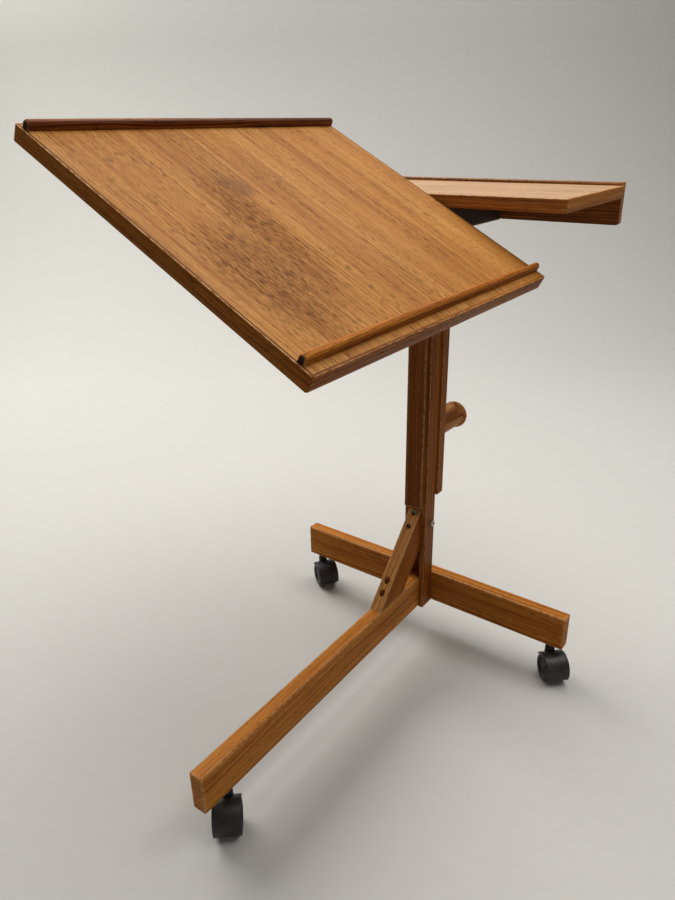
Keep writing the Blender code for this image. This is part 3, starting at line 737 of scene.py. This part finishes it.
def make_height_knob(middle, bore):
    """A turned handle: a domed cap, a rim, a groove below it and a slightly tapered shaft."""
    low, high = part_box("height_knob")
    length = high.y - low.y
    rim = (high.z - low.z) / 2
    shaft = rim - 0.0040
    dome = 0.0115
    crown = length - dome
    profile = [(0.0, length)]
    for degrees in range(10, 91, 8):
        angle = math.radians(degrees)
        profile.append((rim * math.sin(angle), crown + dome * math.cos(angle)))
    profile += [(rim, crown - 0.0012), (rim - 0.0004, crown - 0.0032), (rim - 0.0016, crown - 0.0048)]
    profile += [(shaft + 0.0010, crown - 0.0058), (shaft + 0.0002, crown - 0.0072), (shaft, crown - 0.0090)]
    profile += [(shaft - 0.0008, 0.020), (shaft - 0.0020, 0.0040), (shaft - 0.0027, 0.0012)]
    profile += [(shaft - 0.0040, 0.0), (bore, 0.0), (bore, 0.026), (0.0, 0.026)]
    knob_piece("height_knob", profile, aim_matrix((middle.x, low.y, middle.z), (0, 1, 0)))


def knob_piece(node, profile, matrix):
    """A turned knob; its mesh is swung round so that local X, the grain, is the turning axis."""
    shape = lathe_shape(profile, 64)
    swing = Matrix.Rotation(QUARTER, 4, "Y")
    bmesh.ops.transform(shape, matrix=swing, verts=shape.verts)
    mesh = finish_mesh(node, shape, 50.0)
    # The knobs take the lighter edge teak, which paints in light that the shaded knobs lack.
    add_piece(node, mesh, matrix @ swing.inverted(), EDGE_TEAK)


def lipping_station(outer, normal, inner, low, high):
    """One closed cross-section of a lipping: square inside, rounded over outside."""
    outer = Vector(outer)
    normal = Vector(normal)
    inner = Vector(inner)
    glued = inner + (outer - inner).normalized() * GLUE_LINE
    ring = [Vector((*inner, low)), Vector((*inner, high)), Vector((*glued, high))]
    for i in range(BEVEL_STEPS + 1):
        angle = QUARTER * i / BEVEL_STEPS
        inset = outer - normal * TOP_EASE * (1 - math.sin(angle))
        ring.append(Vector((*inset, high - TOP_EASE * (1 - math.cos(angle)))))
    for i in range(BEVEL_STEPS + 1):
        angle = QUARTER * i / BEVEL_STEPS
        inset = outer - normal * TOP_EASE * (1 - math.cos(angle))
        ring.append(Vector((*inset, low + TOP_EASE * (1 - math.sin(angle)))))
    return ring


def lipping_end(side, kind, half, corner):
    """Cross-section places from a strip's end inwards: (outer point, outward normal, inner point)."""
    if kind == "square":
        ends = (side * half, side * (half - EDGE_BAND))
        return [((x, 0.0), (0.0, 1.0), (x, -LIPPING)) for x in ends]
    rows = []
    for i in range(MITRE_STEPS + 1):
        angle = math.radians(45 + 45 * i / MITRE_STEPS)
        normal = (side * math.cos(angle), math.sin(angle))
        outer = (side * (half - corner) + corner * normal[0], corner * (normal[1] - 1))
        rows.append((outer, normal, (side * (half - LIPPING), -LIPPING)))
    return rows


def lipping_piece(node, axes, start, end, out, low, high, ends, corner, material, seam):
    """An edge strip from start to end along a top's outline; out points away from the top.

    ends says, for each end, whether it is mitred round a corner or square.
    seam is how dark the glue line is.
    """
    start = Vector(start)
    end = Vector(end)
    out = Vector(out)
    along = (end - start).normalized()
    half = (end - start).length / 2
    stations = lipping_end(-1, ends[0], half, corner) + lipping_end(1, ends[1], half, corner)[::-1]
    flip = 1.0 if along.x * out.y - along.y * out.x > 0 else -1.0
    rings = []
    for station in stations:
        rings.append([Vector((x, flip * y, z)) for x, y, z in lipping_station(*station, low, high)])
    shape = loft(rings)
    ring_size = len(rings[0])
    # The rounded arris is lightened, more where the glue line is darker: worn finish and a painted highlight.
    wear_and_highlight = [0.0] * 3 + [1.0 + 0.5 * seam] * BEVEL_STEPS + [0.0] * (ring_size - 3 - BEVEL_STEPS)
    grime = [seam, seam, 0.8 * seam] + [0.0] * (ring_size - 3)
    set_layer(shape, "wear_and_highlight", {vertex: wear_and_highlight[i % ring_size] for i, vertex in enumerate(shape.verts)})
    mitres = [ring for ring, kind in ((0, ends[0]), (len(rings) - 1, ends[1])) if kind == "mitre"]
    dark = {}
    for i, vertex in enumerate(shape.verts):
        dark[vertex] = 0.9 if i // ring_size in mitres else grime[i % ring_size]
    set_layer(shape, "grime", dark)
    middle = (start + end) / 2
    height = (low + high) / 2
    bmesh.ops.translate(shape, vec=(0.0, 0.0, -height), verts=shape.verts)
    mesh = finish_mesh(node, shape)
    side_way = Vector((-along.y, along.x))
    turn = Matrix(((along.x, side_way.x, 0), (along.y, side_way.y, 0), (0, 0, 1))).to_4x4()
    matrix = axes @ Matrix.Translation((*middle, height)) @ turn
    add_piece(node, mesh, matrix, material)


def panel_piece(node, axes, low, high, material):
    """A veneered panel, with the glue line's grime along its border."""
    shape = box_shape(high - low)
    bmesh.ops.bevel(shape, geom=shape.edges[:], offset=SEAM, segments=1, affect="EDGES")
    inset_band(shape, largest(shape, 2), GLUE_LINE / 2, "grime", 0.3)
    mesh = finish_mesh(node, shape, 30.0)
    matrix = axes @ Matrix.Translation((low + high) / 2)
    add_piece(node, mesh, matrix, material)


def edged_top(axes, low, high, panel, strips, materials, back_edge, corner):
    """A panel between its lippings. strips names the pieces on the -X, +X, -Y and, if lipped, +Y edges."""
    inset = LIPPING + SEAM / 2
    inner_low = Vector((low.x + inset, low.y + inset, low.z))
    inner_high = Vector((high.x - inset, high.y - (0.0 if back_edge == "square" else inset), high.z))
    panel_piece(panel, axes, inner_low, inner_high, materials[0])
    west_south, east_south = (low.x, low.y), (high.x, low.y)
    west_north, east_north = (low.x, high.y), (high.x, high.y)
    side_ends = ("mitre", back_edge)
    both = ("mitre", "mitre")
    edges = (
        (west_south, west_north, (-1, 0), side_ends, 0.2),
        (east_south, east_north, (1, 0), side_ends, 0.1),
        (west_south, east_south, (0, -1), both, 1.0),
        (west_north, east_north, (0, 1), both, 0.5),
    )
    for node, (start, end, out, kinds, seam) in zip(strips, edges):
        lipping_piece(node, axes, start, end, out, low.z, high.z, kinds, corner, materials[1], seam)


def make_shelf():
    strips = ("shelf_lipping_left", "shelf_lipping_right", "shelf_lipping_front")
    low, high = local_box(FLAT, "shelf_panel", *strips)
    edged_top(FLAT, low, high, "shelf_panel", strips, (SHELF_VENEER, EDGE_TEAK), "square", SHELF_CORNER)
    make_fence()


def make_fence():
    """The board across the shelf's rear, with its two lower corners rounded."""
    low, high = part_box("shelf_fence")
    half_x, half_z = (high.x - low.x) / 2, (high.z - low.z) / 2
    outline = [(-half_x, half_z)]
    outline += arc((FENCE_CORNER - half_x, FENCE_CORNER - half_z), FENCE_CORNER, 180, 270, 10)
    outline += arc((half_x - FENCE_CORNER, FENCE_CORNER - half_z), FENCE_CORNER, 270, 360, 10)
    outline.append((half_x, half_z))
    half_y = (high.y - low.y) / 2
    shape = loft([[Vector((x, y, z)) for x, z in outline] for y in (-half_y, half_y)])
    edges = [edge for edge in shape.edges if abs(edge.verts[0].co.y - edge.verts[1].co.y) < 1e-6]
    round_edges(shape, edges, FENCE_EASE)
    inset_band(shape, largest(shape, 4), 0.0018)
    mesh = finish_mesh("shelf_fence", shape)
    add_piece("shelf_fence", mesh, Matrix.Translation((low + high) / 2), FENCE_TEAK)


# ---------------------------------------------------------------- tilting leaf


def leaf_axes():
    """The pivot's place and the leaf's tilt: X runs from lip to lip, Z stands off the leaf."""
    faces = frame["nodes"]["leaf_panel"].data.polygons
    face = max(faces, key=lambda polygon: polygon.area * (polygon.normal.z > 0))
    tilt = math.atan2(face.normal.x, face.normal.z)
    origin = Vector(JOINTS["leaf_tilt"]["pos_m"])
    origin.y = MAST.y
    return Matrix.Translation(origin) @ Matrix.Rotation(tilt, 4, "Y")


LEAF = leaf_axes()


def book_lip(node, material):
    """A half-round bead with a rounded nose at each end. Its near end is bare, dirty end grain."""
    low, high = local_box(LEAF, node)
    half = (high.x - low.x) / 2
    height = high.z - low.z
    length = high.y - low.y
    outline = [(half, 0.0)] + arc((0.0, height - half), half, 0, 180, 14) + [(-half, 0.0)]
    places = [0.0, 0.08, 0.3, 0.6, 1.0]
    rings = []
    for end in (-1, 1):
        rows = []
        for share in places:
            size = 0.70 + 0.30 * math.sqrt(1 - (1 - share) ** 2)
            place = end * (length / 2 - share * LIP_NOSE)
            rise = 0.25 + 0.75 * size
            rows.append([Vector((place, -x * size, z * rise if z > 0 else 0.0)) for x, z in outline])
        if end > 0:
            rows.reverse()
        rings += rows
    shape = loft(rings)
    # The rings round each nose take the lighter edge mark: worn finish and a painted highlight.
    worn = (1, 2, 7, 8)
    wear_and_highlight = [0.8 if i // len(outline) in worn else 0.15 for i in range(len(shape.verts))]
    set_layer(shape, "wear_and_highlight", dict(zip(shape.verts, wear_and_highlight)))
    tip = -length / 2 + 1e-5
    for face in shape.faces:
        face.material_index = 1 if all(vertex.co.x < tip for vertex in face.verts) else 0
    bmesh.ops.translate(shape, vec=(0.0, 0.0, -height / 2), verts=shape.verts)
    mesh = finish_mesh(node, shape, 50.0)
    centre = (low + high) / 2
    add_piece(node, mesh, grain_matrix(LEAF, centre, GRAIN_Y), material)
    mesh.materials.append(END_TEAK)


def make_leaf():
    strips = ("leaf_lipping_high", "leaf_lipping_low", "leaf_lipping_end", "leaf_lipping_mast")
    low, high = local_box(LEAF, "leaf_panel", *strips)
    edged_top(LEAF, low, high, "leaf_panel", strips, (LEAF_VENEER, TEAK), "mitre", LEAF_CORNER)
    book_lip("book_lip_high", DARK_TEAK)
    # The low lip takes the lighter bar teak, which paints the light on its top.
    book_lip("book_lip_low", LIT_BAR_TEAK)
    low, high = local_box(FLAT, "pivot_rod")
    radius = (high.z - low.z) / 2
    axis = (low + high) / 2
    for node in ("saddle_mast", "saddle_end"):
        low, high = local_box(LEAF, node)
        start = LEAF @ Vector((0.0, low.y - 0.010, 0.0))
        end = LEAF @ Vector((0.0, high.y + 0.010, 0.0))
        block(node, GRAIN_Y, TEAK, 0.0018, LEAF, [(start, end, radius + PLAY)])
    return axis, radius


def make_pivot(axis, radius):
    low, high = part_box("pivot_rod")
    length = high.y - low.y
    profile = [(0.0, length), (radius - 0.0008, length), (radius, length - 0.0008), (radius, 0.0008)]
    profile += [(radius - 0.0008, 0.0), (0.0, 0.0)]
    turned("pivot_rod", profile, aim_matrix((axis.x, low.y, axis.z), (0, 1, 0)), STEEL, 40)
    hole = ((axis.x, axis.y - 1.0, axis.z), (axis.x, axis.y + 1.0, axis.z), radius + PLAY)
    block("pivot_plate", GRAIN_Z, STEEL, 0.0006, holes=(hole,))


def make_tilt_clamp():
    low, high = local_box(LEAF, "tilt_stud")
    stud_foot = low.z
    middle = (low + high) / 2
    radius = (high.x - low.x) / 2
    length = high.z - low.z
    axes = LEAF @ Matrix.Translation((middle.x, middle.y, low.z))
    profile = [(0.0, length), (radius - 0.0004, length), (radius, length - 0.0005), (radius, 0.0), (0.0, 0.0)]
    turned("tilt_stud", profile, axes, STEEL, 32)
    low, high = local_box(LEAF, "tilt_knob")
    rim = (high.x - low.x) / 2
    height = high.z - low.z
    crown = height - 0.0125
    inner = stud_foot - low.z - 0.0005
    bore = radius + PLAY
    profile = [(0.0, inner), (bore, inner), (bore, height), (0.0074, height), (0.0080, height - 0.0006)]
    profile += [(0.0084, height - 0.0040), (0.0092, height - 0.0066), (0.0112, height - 0.0082)]
    profile += [(rim - 0.0016, crown + 0.0032), (rim - 0.0004, crown + 0.0015), (rim, crown - 0.0006)]
    for degrees in range(12, 90, 12):
        angle = math.radians(degrees)
        profile.append((rim * math.cos(angle), crown * (1 - math.sin(angle))))
    profile.append((0.0, 0.0))
    axes = LEAF @ Matrix.Translation(((low.x + high.x) / 2, (low.y + high.y) / 2, low.z))
    knob_piece("tilt_knob", profile, axes)


# ---------------------------------------------------------------- castors


def castor_axes(label):
    """The swivel's foot on the floor, with X along the way the castor trails and Y along its axle."""
    joint = JOINTS[f"castor_{label}_swivel"]
    foot = Vector(joint["pos_m"])
    axle = Vector(JOINTS[f"castor_{label}_wheel_far_spin"]["pos_m"])
    trail = Vector((axle.x - foot.x, axle.y - foot.y, 0.0))
    turn = Matrix.Rotation(math.atan2(trail.y, trail.x), 4, "Z")
    return Matrix.Translation((foot.x, foot.y, 0.0)) @ turn, trail.length, axle.z


def hood_shape(trail, height):
    """A curved shell with rolled rims, over both wheels."""
    outline = [(HOOD_INNER, 0.0006 - HOOD_HALF), (HOOD_INNER + 0.0003, -HOOD_HALF)]
    outline.append((HOOD_INNER + 0.0007, -HOOD_HALF))
    edge = 0.0014
    for i in range(4):
        angle = QUARTER * i / 3
        radius = HOOD_RADIUS - edge * (1 - math.sin(angle))
        outline.append((radius, edge * (1 - math.cos(angle)) - HOOD_HALF))
    outline += [(radius, -side) for radius, side in reversed(outline)]
    rings = []
    steps = 48
    for i in range(steps + 1):
        angle = HOOD_START + (HOOD_END - HOOD_START) * i / steps
        way = Vector((math.cos(angle), 0.0, math.sin(angle)))
        rings.append([Vector((trail, side, height)) + way * radius for radius, side in outline])
    return loft(rings)


def web_mesh(trail, height):
    """The plate between the wheels, from the hood down to the axle."""
    outline = arc((0.0, 0.0), HOOD_INNER + 0.0006, -25, 150, 36)
    outline += [(-0.0150, 0.0040), (-0.0110, -0.0035), (-0.0060, -0.0080)]
    outline += [(0.0, -0.0098), (0.0080, -0.0108)]
    sides = (-WEB_HALF, WEB_HALF)
    rings = [[Vector((trail + x, side, height + z)) for x, z in outline] for side in sides]
    return finish_mesh("web", loft(rings))


def boss_mesh(height):
    """The round boss on top of the hood that holds the stem."""
    profile = [(0.0038, HOOD_TOP), (0.0062, HOOD_TOP), (0.0070, HOOD_TOP - 0.0003)]
    profile += [(0.0077, HOOD_TOP - 0.0014), (0.0082, height + 0.016)]
    profile += [(0.0070, height + 0.014), (0.0038, height + 0.014)]
    return finish_mesh("boss", lathe_shape(profile, 40, True))


def make_castor(label):
    axes, trail, height = castor_axes(label)
    make_hood(label, axes, trail, height)
    make_stem(label, axes)
    make_axle(label, axes, trail, height)
    for side, sign in (("near", -1), ("far", 1)):
        make_wheel(f"castor_{label}_wheel_{side}", axes, trail, height, sign)


def make_hood(label, axes, trail, height):
    """The hood, with the web between the wheels and the boss, as closed shells in one mesh."""
    parts = [finish_mesh("hood", hood_shape(trail, height)), web_mesh(trail, height), boss_mesh(height)]
    shape = bmesh.new()
    for mesh in parts:
        shape.from_mesh(mesh)
    hood = finish_mesh(f"castor_{label}_hood", shape)
    centre = Matrix.Translation((trail, 0.0, height))
    hood.transform(centre.inverted())
    add_piece(f"castor_{label}_hood", hood, axes @ centre, NYLON)


def make_stem(label, axes):
    """The steel stem with its collar, and the plastic socket that it stands in."""
    low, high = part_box(f"castor_{label}_stem")
    neck = 0.0055
    shank = 0.0040
    under = BAR_LOW.z - 0.0003
    profile = [(0.0, high.z), (shank - 0.0010, high.z), (shank, high.z - 0.0014), (shank, under)]
    profile += [(neck - 0.0005, under), (neck, under - 0.0005), (neck, under - 0.0018)]
    profile += [(neck - 0.0012, under - 0.0022), (neck - 0.0012, HOOD_TOP + 0.0020)]
    profile += [(neck, HOOD_TOP + 0.0016), (neck, HOOD_TOP + 0.0003)]
    profile += [(0.0035, HOOD_TOP + 0.0003), (0.0035, low.z), (0.0, low.z)]
    turned(f"castor_{label}_stem", profile, axes, DULL_STEEL, 40)
    low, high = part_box(f"castor_{label}_socket")
    outer = (high.x - low.x) / 2
    inner = shank + PLAY
    ring = [(outer, high.z), (outer, low.z + 0.0004), (outer - 0.0004, low.z), (inner + 0.0006, low.z)]
    ring += [(inner, low.z + 0.0008), (inner, high.z)]
    foot = (low + high) / 2
    matrix = Matrix.Translation((foot.x, foot.y, 0.0))
    turned(f"castor_{label}_socket", ring, matrix, NYLON, 48, True)


def make_axle(label, axes, trail, height):
    low, high = local_box(axes, f"castor_{label}_axle")
    reach = (high.y - low.y) / 2
    radius = (high.z - low.z) / 2
    half = [(0.0, reach), (radius - 0.0005, reach), (radius, reach - 0.0005)]
    profile = half + [(r, -z) for r, z in reversed(half)]
    matrix = axes @ Matrix.Translation((trail, 0.0, height)) @ Matrix.Rotation(-QUARTER, 4, "X")
    turned(f"castor_{label}_axle", profile, matrix, DULL_STEEL, 32)


def make_wheel(node, axes, trail, height, sign):
    """A wheel with a crowned tread and a dished face: a raised rim, a groove and a low hub."""
    low, high = local_box(axes, node)
    inner = min(abs(low.y), abs(high.y))
    outer = max(abs(low.y), abs(high.y))
    radius = (high.z - low.z) / 2
    hub = outer - 0.0030
    face = [(0.0, 0.0009), (0.0030, 0.0008), (0.0052, 0.0002), (0.0058, -0.0004), (0.0064, -0.0006)]
    face += [(0.0112, -0.0002), (0.0136, 0.0002), (0.0142, -0.0004), (0.0150, -0.0004), (0.0157, 0.0004)]
    profile = [(ring, hub + rise) for ring, rise in face]
    rim = [(0.0059, 0.0006), (0.0052, 0.0001), (0.0043, 0.0), (0.0028, 0.0002), (0.0014, 0.0010)]
    rim += [(0.0005, 0.0022), (0.0001, 0.0036)]
    profile += [(radius - depth, outer - drop) for depth, drop in rim]
    profile.append((radius, (inner + outer) / 2))
    back = [(0.0001, 0.0026), (0.0006, 0.0010), (0.0016, 0.0002), (0.0030, 0.0)]
    profile += [(radius - depth, inner + rise) for depth, rise in back]
    profile += [(0.0034, inner), (0.0034, hub - 0.0024), (0.0, hub - 0.0024)]
    matrix = axes @ Matrix.Translation((trail, 0.0, height)) @ Matrix.Rotation(-QUARTER * sign, 4, "X")
    turned(node, profile, matrix, NYLON, 72)


# ---------------------------------------------------------------- studio


def studio_material():
    """Plain pale paper, with the faintest tooth."""
    graph = Graph("studio_paper")
    tooth = graph.noise(graph.local, (40.0, 40.0, 40.0), 3.0)
    colour = graph.mix(tooth, (0.47, 0.465, 0.445, 1.0), (0.50, 0.495, 0.475, 1.0))
    return graph.shade(colour, 0.85, tooth, 0.0001)


def make_studio():
    """A seamless sweep: floor, then a round turn up into a wall behind the table."""
    bend_start = FLOOR_BACK - SWEEP_BEND
    path = [(FLOOR_FRONT, 0.0), (bend_start, 0.0)]
    for i in range(1, BEND_STEPS + 1):
        angle = QUARTER * i / BEND_STEPS
        path.append((bend_start + SWEEP_BEND * math.sin(angle), SWEEP_BEND * (1 - math.cos(angle))))
    path.append((FLOOR_BACK, WALL_TOP))
    shape = bmesh.new()
    rows = [[shape.verts.new((side, y, z)) for y, z in path] for side in (-SWEEP_HALF, SWEEP_HALF)]
    for i in range(len(path) - 1):
        shape.faces.new((rows[0][i], rows[1][i], rows[1][i + 1], rows[0][i + 1]))
    mesh = bpy.data.meshes.new("studio_sweep")
    shape.to_mesh(mesh)
    shape.free()
    mesh.shade_smooth()
    sweep = new_object("studio_sweep", mesh)
    sweep.location = MAST
    sweep.rotation_euler = (0.0, 0.0, VIEW_AZIMUTH)
    mesh.materials.append(studio_material())


def area_light(name, place, target, size, power, colour):
    """A soft rectangular lamp; place and target are measured from the mast's foot."""
    light = bpy.data.lights.new(name, "AREA")
    light.shape = "RECTANGLE"
    light.size = size[0]
    light.size_y = size[1]
    light.energy = power
    light.color = colour
    lamp = new_object(name, light)
    place = MAST + Vector(place)
    lamp.location = place
    lamp.rotation_euler = (MAST + Vector(target) - place).to_track_quat("-Z", "Y").to_euler()


def make_lights():
    area_light("window_light", (-2.6, 0.3, 2.3), (0.0, -0.1, 0.3), (2.2, 1.8), 95.0, (1.0, 0.98, 0.94))
    area_light("ceiling_light", (0.3, 0.5, 2.7), (0.1, 0.0, 0.4), (2.6, 2.2), 78.0, (1.0, 0.98, 0.95))
    area_light("fill_light", (2.0, -1.5, 1.4), (0.0, 0.0, 0.5), (1.8, 1.8), 4.5, (1.0, 0.97, 0.92))
    world = bpy.data.worlds.new("studio_air")
    bpy.context.scene.world = world
    world.use_nodes = True
    background = world.node_tree.nodes["Background"]
    background.inputs["Color"].default_value = (1.0, 0.97, 0.92, 1.0)
    background.inputs["Strength"].default_value = 0.11


def make_camera():
    camera = bpy.data.cameras.new("camera")
    camera.lens = LENS
    camera.sensor_width = 36.0
    camera.clip_start = 0.02
    holder = new_object("camera", camera)
    aim = Matrix.Rotation(VIEW_AZIMUTH, 4, "Z") @ Matrix.Rotation(QUARTER - VIEW_ELEVATION, 4, "X")
    holder.matrix_world = Matrix.Translation(MAST + VIEW_FROM) @ aim @ Matrix.Rotation(VIEW_ROLL, 4, "Z")
    bpy.context.scene.camera = holder


def main():
    make_bars()
    make_posts()
    make_post_bolt()
    make_leg_bolts()
    make_brace()
    make_slide()
    make_clamp()
    make_shelf()
    axis, radius = make_leaf()
    make_pivot(axis, radius)
    make_tilt_clamp()
    for label in ("front", "left", "right"):
        make_castor(label)
    make_studio()
    make_lights()
    make_camera()
    bpy.context.scene.view_settings.view_transform = "Standard"


main()
